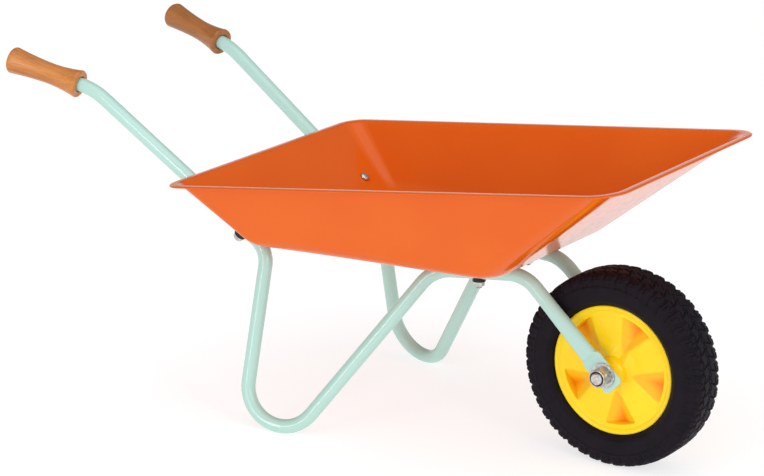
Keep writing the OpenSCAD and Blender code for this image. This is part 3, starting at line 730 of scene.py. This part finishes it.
def hexagon(corner_r, bottom, top, bore_r, chamfer_top=True):
    """A hexagon nut or head with chamfered corners, bored through."""
    a = around(120)
    flat_r = corner_r * math.cos(math.pi / 6)
    hexagon_r = flat_r / np.cos((a + math.pi / 6) % (math.pi / 3) - math.pi / 6)
    seat_r, cut = flat_r * 0.97, (corner_r - flat_r) * 0.62
    chamfer = [(seat_r + k * (corner_r - seat_r), k * cut) for k in np.linspace(0, 1, 7)]
    lower = [(r, bottom + z) for r, z in chamfer]
    upper = [(r, top - z) for r, z in chamfer[::-1]] if chamfer_top else [(corner_r, top)]
    rows = [(bore_r, bottom), *lower, (corner_r, (bottom + top) / 2), *upper,
            (bore_r + 0.5, top), (bore_r, top - 0.5)]
    return loft([ring(np.minimum(r, hexagon_r), a, z) for r, z in rows], wrap_rows=True)


def washer(outer_r, inner_r, z0, z1, edge=0.25):
    """A flat ring with softened edges."""
    middle = [inner_r, (z0 + z1) / 2]
    corners = [middle, [inner_r, z0], [outer_r, z0], [outer_r, z1], [inner_r, z1], middle]
    return revolve(filleted(corners, [0, 0.1, edge, edge, 0.1], steps=3)[:-1])


def at_bolt(place, tilt_deg):
    """A frame at a tray bolt: +Z towards its head."""
    return Matrix.Translation(Vector(place)) @ Matrix.Rotation(math.radians(tilt_deg), 4, "Y")


BOLT_R, BOLT_PITCH, HEAD_R, HEAD_H = 3.0, 1.0, 5.4, 3.2
NUT_R, NUT_H = 5.77, 5.0
# Where a nut starts: the saddle washer's outside, from the tube's middle line
NUT_AT = -TUBE_R - 2.0
# How far a bolt stands out of its nut, the gap under its head, and its reach into the head
BOLT_TAIL, HEAD_GAP, HEAD_LAP = 2.5, 0.3, 0.4
FLOOR_TILT = math.degrees(math.atan(FLOOR_SLOPE))
# Where the bolts cross the tube's middle line
REAR_BOLT_AT = HANDLE_BEND + 0.87 * (LEG_TOP - HANDLE_BEND)
FRONT_BOLT_AT = STRUT_TOP + 0.50 * (FORK_BEND - STRUT_TOP)


def tray_bolt_sites():
    """Name, place on the tube's line, tilt and gap to the tray of the rear and front pair."""
    top_x = TRAY_REAR_X + LIP_W
    wall_top = np.array([top_x, lip_z(top_x) - SHEET])
    wall_foot = np.array([FLOOR_REAR_X, floor_z(FLOOR_REAR_X)])
    run = unit(wall_foot - wall_top)
    rear, front = in_frame(REAR_BOLT_AT), in_frame(FRONT_BOLT_AT)
    rear_gap = run[0] * (wall_foot[1] - rear[2]) - run[1] * (wall_foot[0] - rear[0])
    front_gap = (floor_z(front[0]) - front[2]) * math.cos(math.radians(FLOOR_TILT))
    rear_tilt = -math.degrees(math.atan2(run[1], run[0]))
    return [("rear", rear, rear_tilt, rear_gap), ("front", front, -FLOOR_TILT, front_gap)]


def make_tray_fasteners():
    for name, place, tilt, gap in tray_bolt_sites():
        seat = gap + SHEET + HEAD_GAP
        head = moved(pan_head(HEAD_R, HEAD_H), Matrix.Translation((0, 0, seat)))
        rod = threaded_rod(BOLT_R, BOLT_PITCH, -seat - HEAD_LAP, NUT_H + BOLT_TAIL - NUT_AT)
        bolt = joined(head, moved(rod, Matrix.Rotation(math.pi, 4, "X")))
        nut = hexagon(NUT_R, NUT_AT - NUT_H, NUT_AT, BOLT_R + BORE_GAP)
        for part, shape in (("tray_bolt", bolt), ("tray_nut", nut)):
            for side, sign in SIDES:
                piece(f"{side}_{name}_{part}", shape, ZINC, "zinc_steel", "barrow",
                      [f"{name}_{part}s"], matrix=at_bolt(place * [1.0, sign, 1.0], tilt),
                      sharp_deg=30)


PLATE_IN, PLATE_OUT = FORK_Y - PLATE_T / 2, FORK_Y + PLATE_T / 2
AXLE_R, AXLE_PITCH, AXLE_WASHER_T, AXLE_WASHER_R = 6.0, 1.75, 1.8, 13.0
INNER_WASHER_R = 11.0
# The lock nut: its hexagon, the collar above it, and the ring set into the collar
LOCK_NUT_R, LOCK_NUT_HEX_H, LOCK_NUT_H = 10.4, 8.4, 11.6
COLLAR_R, INSERT_R, INSERT_DEPTH = 9.0, 7.6, 2.6
# The bolt: how far it stands out of the nut, how far its thread runs back from the nut,
# its head, and the small opening in the head that a dished plug closes
AXLE_TIP, AXLE_THREAD, AXLE_HEAD_R, AXLE_HEAD_H = 2.2, 6.0, 10.4, 7.0
OPENING_R, DISH = 0.6, 0.3
# A frame on the axle line: +Z towards the right side
ON_AXLE = (Matrix.Translation(Vector((AXLE[0], 0, AXLE[2])))
           @ Matrix.Rotation(math.pi / 2, 4, "X"))


def make_axle():
    """The axle bolt, its lock nut with the ring in it, and the four washers."""
    nut_from = PLATE_OUT + AXLE_WASHER_T
    nut_to = nut_from + LOCK_NUT_H
    head_to = -nut_from - AXLE_HEAD_H
    shank = threaded_rod(AXLE_R, AXLE_PITCH, -nut_from - 1.0, nut_to + AXLE_TIP,
                         plain_to=nut_from - AXLE_THREAD, segments=40)
    head = hexagon(AXLE_HEAD_R, head_to, -nut_from, OPENING_R, chamfer_top=False)
    dish = revolve([[0.05, head_to + DISH], [OPENING_R + 0.02, head_to],
                    [OPENING_R + 0.02, -nut_from - DISH], [0.05, -nut_from - DISH]],
                   segments=24, closed=False)
    piece("axle_hex_bolt", joined(shank, head, dish), ZINC, "zinc_steel", "barrow",
          ["axle_bolt"], matrix=ON_AXLE, sharp_deg=30)

    bore_r, collar_from = AXLE_R + BORE_GAP, nut_from + LOCK_NUT_HEX_H - 1.0
    collar = revolve(filleted(
        [[bore_r, collar_from], [COLLAR_R, collar_from], [COLLAR_R, nut_to],
         [INSERT_R, nut_to], [INSERT_R, nut_to - INSERT_DEPTH],
         [bore_r, nut_to - INSERT_DEPTH], [bore_r, collar_from]],
        [0, 0, 1.1, 0.3, 0, 0])[:-1])
    hexes = hexagon(LOCK_NUT_R, nut_from, nut_from + LOCK_NUT_HEX_H, bore_r)
    piece("axle_lock_nut_body", joined(hexes, collar), ZINC, "zinc_steel", "barrow",
          ["axle_lock_nut"], matrix=ON_AXLE, sharp_deg=30)
    insert = washer(INSERT_R - BORE_GAP, bore_r, nut_to - INSERT_DEPTH, nut_to - 0.4, 0.3)
    piece("lock_nut_ring", insert, PLASTIC, "black_plastic", "barrow",
          ["lock_nut_insert"], matrix=ON_AXLE)

    for name, r, near, far in (("outer", AXLE_WASHER_R, PLATE_OUT, nut_from),
                               ("inner", INNER_WASHER_R, PLATE_IN - AXLE_WASHER_T, PLATE_IN)):
        for side, (z0, z1) in (("right", (near, far)), ("left", (-far, -near))):
            piece(f"{side}_{name}_axle_washer", washer(r, AXLE_R + 0.2, z0, z1), ZINC,
                  "zinc_steel", "barrow", [f"{name}_axle_washers"], matrix=ON_AXLE)


# ---- Rim: two moulded halves with V valleys between raised wedges
RIM_R, RIM_HALF_W, FACE_Y, HUB_R = 66.8, 18.5, 15.5, 11.2
HUB_PLAY, BORE_R = 0.3, 8.08
HUB_HALF = PLATE_IN - AXLE_WASHER_T - HUB_PLAY
BEAD_R = RIM_R - 7
# Valleys: the radii they lie between, their depth, the slope of their end wall, half
# their width at the end, how far above the face their bottom starts, the turn of the
# first one in degrees, and how many there are, with raised wedges between them
VALLEY_FROM, VALLEY_END, VALLEY_DEPTH, END_SLOPE = 15.0, 55.2, 9.0, 4.18
VALLEY_HALF_W, VALLEY_LIFT, FIRST_VALLEY, WEDGES = 16.5, 1.0, -8.0, 5
# Half width of a valley where it starts, its least side slope, and how soft its bottom is
VALLEY_TIP, LEAST_SLOPE, BOTTOM_ROUND = 0.25, 0.35, 0.5
# How soft a valley's edges are
EDGE_ROUND = 0.35
# The mesh's columns follow a valley's edges between two radii: the half angles that it
# may take up there, and how far to a side the edges are looked for, in degrees
EDGES_FROM, EDGES_TO, LEAST_ANGLE, MOST_ANGLE, LOOK_TO = 16.0, 56.0, 3.0, 30.0, 34.0


def rim_face(r):
    """Height of the outside of a rim half, before its valleys are cut."""
    corners = [[HUB_R, HUB_HALF], [HUB_R + 0.8, HUB_HALF - 5], [HUB_R + 6, FACE_Y + 3],
               [HUB_R + 16, FACE_Y], [RIM_R - 6, FACE_Y], [RIM_R - 3.4, RIM_HALF_W - 0.8],
               [RIM_R - 1.6, RIM_HALF_W], [RIM_R, RIM_HALF_W - 0.8]]
    smooth = filleted(corners, [0, 2.5, 4.0, 5.0, 2.0, 1.0, 1.2], steps=8)
    return np.interp(r, smooth[:, 0], smooth[:, 1])


def valley_floor(r, y):
    """Height of the V valley at radius r, y to one side of its middle line."""
    run = np.maximum(r - VALLEY_FROM, 0.0) / (VALLEY_END - VALLEY_FROM)
    bottom = FACE_Y + VALLEY_LIFT - run * (VALLEY_DEPTH + VALLEY_LIFT)
    slope = (FACE_Y - bottom) / (VALLEY_TIP + VALLEY_HALF_W * run)
    away = np.sqrt(y * y + BOTTOM_ROUND) - math.sqrt(BOTTOM_ROUND)
    end_wall = FACE_Y - VALLEY_DEPTH + END_SLOPE * (r - VALLEY_END)
    return np.maximum(bottom + np.maximum(slope, LEAST_SLOPE) * away, end_wall)


def valley_angle(r):
    """Half the angle, in degrees, that the mesh gives a valley at radius r."""
    if r <= EDGES_FROM:
        return LEAST_ANGLE
    if r > EDGES_TO:
        return math.degrees(VALLEY_HALF_W / r)
    y = np.linspace(0, r * math.radians(LOOK_TO), 400)
    cut = valley_floor(r, y) < rim_face(r)
    reach = y[cut].max() if cut.any() else 0.0
    return min(max(math.degrees(reach / r), LEAST_ANGLE), MOST_ANGLE)


def rim_half_rings():
    """Rings of a rim half about +Z: over the face, back along the bead seat and the bore."""
    face_r = np.concatenate([np.linspace(HUB_R, 14.4, 8), np.linspace(15.0, 53.0, 30),
                             np.linspace(53.8, 59.0, 16), np.linspace(59.6, RIM_R, 16)])
    inside = np.array([0, 0.2, 0.4, 0.6, 0.75, 0.87, 0.94, 0.98])
    edge = np.array([1.0, 1.02, 1.06])
    valley_u = np.concatenate([-edge[::-1], -inside[:0:-1], inside, edge])
    wedge_u = np.linspace(0, 1, 13)[1:-1]
    pitch = 360 / WEDGES
    rings = []
    for r in face_r:
        valley = valley_u * valley_angle(r)
        offset = np.concatenate([valley, valley[-1] + wedge_u * (pitch - 2 * valley[-1])])
        from_middle = np.where(offset > pitch / 2, offset - pitch, offset)
        low = valley_floor(r, np.abs(r * np.sin(np.radians(from_middle))))
        face = rim_face(r)
        gap = np.clip(0.5 + (low - face) / (2 * EDGE_ROUND), 0, 1)
        blend = low * (1 - gap) + face * gap - EDGE_ROUND * gap * (1 - gap)
        z = np.where(r < VALLEY_FROM, face, blend)
        turns = FIRST_VALLEY + pitch * np.arange(WEDGES)[:, None]
        angle = np.radians(turns + offset).ravel()
        rings.append(ring(r, angle, np.tile(z, WEDGES)))
    for r, z in ((RIM_R, RIM_HALF_W - 2.4), (BEAD_R + 0.4, RIM_HALF_W - 4.8),
                 (BEAD_R, RIM_HALF_W - 5.2), (BEAD_R, 0.0), (BORE_R, 0.0),
                 (BORE_R, HUB_HALF - 0.3), (BORE_R + 0.3, HUB_HALF), (HUB_R - 0.4, HUB_HALF)):
        rings.append(ring(r, angle, z))
    return rings


def make_rim():
    """Both halves: the left one mirrors the right."""
    right = moved(loft(rim_half_rings(), wrap_rows=True), ON_AXLE)
    for side, shape in (("right", right), ("left", mirrored(right))):
        piece(f"{side}_rim_moulding", shape, YELLOW, "yellow_plastic", "wheel",
              [f"{side}_rim_half"], sharp_deg=38)


# ---- Tyre: a casing whose tread is cut into blocks
PITCHES, COLUMNS_A_PITCH = 45, 22
TREAD_DEPTH = 2.0
# Where its beads end, from the wheel's middle
BEAD_IN = 7.0
# Finer rows out to this distance from the crown, measured along the outside
SHOULDER_TO, FINE_STEP, WIDE_STEP = 38.0, 0.62, 1.1
# Raised rings on the sidewall: radius, height, width and softness
WALL_RINGS = ((87.4, 0.8, 1.5, 0.5), (74.0, 0.5, 3.0, 1.4))


def tyre_profile():
    """Half of the tyre's outside from the crown to the bead, as [radius, out] points, and
    how far each lies from the crown along it."""
    w, r = TYRE_HALF_W, WHEEL_R
    corners = [[r, 0], [r - 0.1, w - 11], [r - 1.3, w - 4.4], [r - 4.6, w - 1.3],
               [r - 11, w - 0.2], [RIM_R + 14, w], [RIM_R + 6, w - 0.8],
               [RIM_R + 1.8, RIM_HALF_W + 1.8], [RIM_R + 0.6, RIM_HALF_W - 1.8],
               [RIM_R - 1.5, RIM_HALF_W - 2.9], [BEAD_R + 0.1, RIM_HALF_W - 5.4],
               [BEAD_R + 0.1, BEAD_IN]]
    radii = [0, 22.0, 6.0, 6.0, 20.0, 30.0, 5.0, 1.0, 0.6, 0.5, 0.4]
    smooth = filleted(corners, radii, steps=10)
    lengths = np.concatenate([[0], np.cumsum(np.linalg.norm(np.diff(smooth, axis=0), axis=1))])
    keep = np.concatenate([[True], np.diff(lengths) > 1e-6])
    smooth, lengths = smooth[keep], lengths[keep]
    q = np.concatenate([np.arange(0, SHOULDER_TO, FINE_STEP),
                        np.arange(SHOULDER_TO, lengths[-1], WIDE_STEP), [lengths[-1]]])
    profile = [np.interp(q, lengths, smooth[:, 0]), np.interp(q, lengths, smooth[:, 1])]
    return np.stack(profile, 1), q


def window(x, a, b, c, d):
    """0 up to a, 1 from b to c, 0 from d on, and smooth between them."""
    return smooth_step(x, a, b) * (1 - smooth_step(x, c, d))


def triangle(t):
    """A triangle wave of period 1 between -1 and 1."""
    return 4 * np.abs(t - np.floor(t + 0.5)) - 1


def groove(distance, width, edge=0.35):
    """1 in the middle of a groove, 0 outside it, for distances in mm from its middle line."""
    return 1 - smooth_step(np.abs(distance), width / 2 - edge, width / 2 + edge)


def tread_cut(t, q):
    """Depth of the tread pattern at pitch t around the tyre and q mm out from the crown."""
    pitch = 2 * math.pi * WHEEL_R / PITCHES
    around_mm = (t - np.floor(t + 0.5)) * pitch
    half = (t - 0.5 - np.floor(t)) * pitch
    # Shoulder grooves with soft edges, which run down the sidewall to the raised ring
    depth = TREAD_DEPTH - (TREAD_DEPTH - 1.0) * smooth_step(q, 22.0, 31.0)
    shoulder = depth * groove(around_mm + triangle(q / 13.0), 3.6, 1.5)
    shoulder *= window(q, 11.0, 12.0, 32.5, 34.5)
    # A zigzag groove between the shoulder blocks and the middle blocks
    zigzag = 1.5 * groove(q - 11.5 - 1.6 * triangle(t + 0.25), 1.7)
    # Slanting cuts through the middle blocks, and a thin zigzag along the crown
    slant = 1.4 * groove(half + 0.45 * (q - 5.5), 1.5) * (1 - smooth_step(q, 10.0, 11.0))
    crown = 1.2 * groove(q - 1.6 - 1.5 * triangle(2 * t), 1.3)
    # A row of small blocks in each shoulder block: cuts along it, and rows across
    along = 0.9 * groove(half - 1.2 * np.sign(q - 18.5), 1.1)
    along *= window(q, 14.0, 14.8, 26.0, 27.0)
    across = 0.8 * groove(q - 18.5 - 0.8 * triangle(2 * t), 1.1)
    edge_row = 0.6 * groove(q - 25.0 + 0.9 * triangle(t), 1.1)
    notch = 0.6 * groove(half, 3.6, 0.9) * window(q, 27.5, 28.5, 31.0, 32.0)
    return np.maximum.reduce([shoulder, zigzag, slant, crown, along, across, edge_row, notch])


def make_tyre():
    """The casing: a cut outside on each side of the crown, and a smooth inside."""
    profile, q = tyre_profile()
    tangent = np.gradient(profile, axis=0)
    normal = np.stack([tangent[:, 1], -tangent[:, 0]], 1)
    normal /= np.linalg.norm(normal, axis=1)[:, None]
    t = np.arange(PITCHES * COLUMNS_A_PITCH) / COLUMNS_A_PITCH
    angle = 2 * math.pi * t / PITCHES
    raised = sum(height * groove(profile[:, 0] - r, width, soft) * (q > 20)
                 for r, height, width, soft in WALL_RINGS)
    sides = []
    for side, phase in ((1, 0.0), (-1, 0.5)):
        q_grid, t_grid = np.meshgrid(q, t + phase, indexing="ij")
        lift = raised[:, None] - tread_cut(t_grid, q_grid)
        r = profile[:, :1] + normal[:, :1] * lift
        sides.append(ring(r, angle, side * (profile[:, 1:] + normal[:, 1:] * lift)))
    corners = [[BEAD_R + 0.1, BEAD_IN], [RIM_R, 9.0], [RIM_R + 5, TYRE_HALF_W - 8],
               [WHEEL_R - 20, TYRE_HALF_W - 6.5], [WHEEL_R - 10.5, TYRE_HALF_W - 8.5],
               [WHEEL_R - 7.5, TYRE_HALF_W - 14]]
    inner = filleted(corners, [0, 1, 3, 6, 3], steps=3)[1:]
    inner = np.concatenate([inner, inner[::-1] * [1, -1]])
    rows = np.concatenate([sides[0], ring(inner[:, :1], angle, inner[:, 1:]), sides[1][:0:-1]])
    shape = moved(loft(rows, wrap_rows=True), ON_AXLE)
    piece("treaded_tyre", shape, TYRE, "tyre_rubber", "wheel", ["tyre"], sharp_deg=32)


# ---- Floor, light and camera
STAGE_HALF = 30000.0
WHITE = (1.0, 1.0, 1.0, 1.0)
# What the studio's lamps point at, in metres
LIT = (0.0, 0.0, 0.2)


def make_stage():
    """A plain pale floor."""
    corners = np.array([[-1, -1, 0], [1, -1, 0], [1, 1, 0], [-1, 1, 0]]) * STAGE_HALF
    paper = Paint("studio_floor", IOR=1.3, Specular_IOR_Level=0.1, Roughness=0.8,
                  Emission_Color=WHITE, Emission_Strength=0.70)
    shades = ((0.3, (0.41, 0.41, 0.41)), (0.7, (0.43, 0.43, 0.43)))
    paper.set("Base Color", paper.ramp(paper.noise(3.0, detail=2.0), *shades))
    new_mesh("studio_floor", (corners, [[0, 1, 2, 3]]), paper.material, tidy=False)


def soft_box(name, place, size, power):
    """A rectangular lamp that points at the object; metres and watts."""
    light = bpy.data.lights.new(name, "AREA")
    light.shape = "RECTANGLE"
    light.size, light.size_y = size
    light.energy = power
    obj = bpy.data.objects.new(name, light)
    obj.location = place
    obj.rotation_mode = "QUATERNION"
    obj.rotation_quaternion = (Vector(LIT) - Vector(place)).to_track_quat("-Z", "Y")
    bpy.context.scene.collection.objects.link(obj)


def make_lights():
    """A world that is brighter from the front right, and three soft boxes."""
    world = bpy.data.worlds.new("studio")
    bpy.context.scene.world = world
    world.use_nodes = True
    tree = world.node_tree
    back = tree.nodes["Background"]
    direction = tree.nodes.new("ShaderNodeTexCoord").outputs["Generated"]
    facing = add_node(tree, "ShaderNodeVectorMath", {0: direction, 1: (0.62, -0.42, 0.66)},
                      operation="DOT_PRODUCT")
    sky = add_node(tree, "ShaderNodeValToRGB", {"Fac": facing.outputs["Value"]})
    stops = sky.color_ramp.elements
    stops[0].position, stops[0].color = 0.0, (0.22, 0.22, 0.23, 1)
    stops[1].position, stops[1].color = 0.9, WHITE
    # A white backdrop all round near the horizon
    split = add_node(tree, "ShaderNodeSeparateXYZ", {"Vector": direction})
    low = add_node(tree, "ShaderNodeMapRange", {
        "Value": split.outputs["Z"], "From Min": 0.10, "From Max": 0.32,
        "To Min": 1.0, "To Max": 0.0})
    tent = add_node(tree, "ShaderNodeMix", {
        0: low.outputs["Result"], 6: sky.outputs["Color"], 7: WHITE}, data_type="RGBA")
    tree.links.new(tent.outputs[2], back.inputs["Color"])
    back.inputs["Strength"].default_value = 1.0
    soft_box("overhead_box", (0.3, -0.4, 2.6), (2.4, 1.6), 10.0)
    soft_box("front_strip", (-0.35, -3.0, 0.9), (0.42, 1.7), 16.0)
    soft_box("right_box", (2.6, -1.2, 1.3), (0.5, 1.6), 12.0)


# The camera: how far it stands round to the front of the right side and above it, in
# degrees, its lens and its distance from the point it looks at, in mm
CAMERA_AZ, CAMERA_EL, LENS, DISTANCE = 34.68, 17.02, 127.932, 2852.5
LOOK_AT = (-1.5, 0.0, 183.9)


def make_camera():
    az, el = math.radians(CAMERA_AZ), math.radians(CAMERA_EL)
    back = Vector((math.sin(az) * math.cos(el), -math.cos(az) * math.cos(el), math.sin(el)))
    data = bpy.data.cameras.new("camera")
    data.sensor_width = 36.0
    data.lens = LENS
    data.clip_start, data.clip_end = 0.05, 100.0
    camera = bpy.data.objects.new("camera", data)
    camera.location = (Vector(LOOK_AT) + back * DISTANCE) * MM
    camera.rotation_mode = "QUATERNION"
    camera.rotation_quaternion = (-back).to_track_quat("-Z", "Y")
    bpy.context.scene.collection.objects.link(camera)
    bpy.context.scene.camera = camera
    bpy.context.scene.view_settings.view_transform = "Standard"


def finish_cad_nodes():
    """Materials for the CAD nodes whose own meshes are kept."""
    shown = {"rear_saddle_washers": PLASTIC, "front_saddle_washers": PLASTIC,
             "rear_tube_pads": RUBBER, "front_tube_pads": RUBBER, "axle_sleeve": ZINC}
    for node, material in shown.items():
        obj = frame["nodes"][node]
        obj.data.materials.clear()
        obj.data.materials.append(material)


make_camera()
make_lights()
make_stage()
make_tray()
make_side_tubes()
make_grips()
make_tray_fasteners()
make_axle()
make_rim()
make_tyre()
finish_cad_nodes()
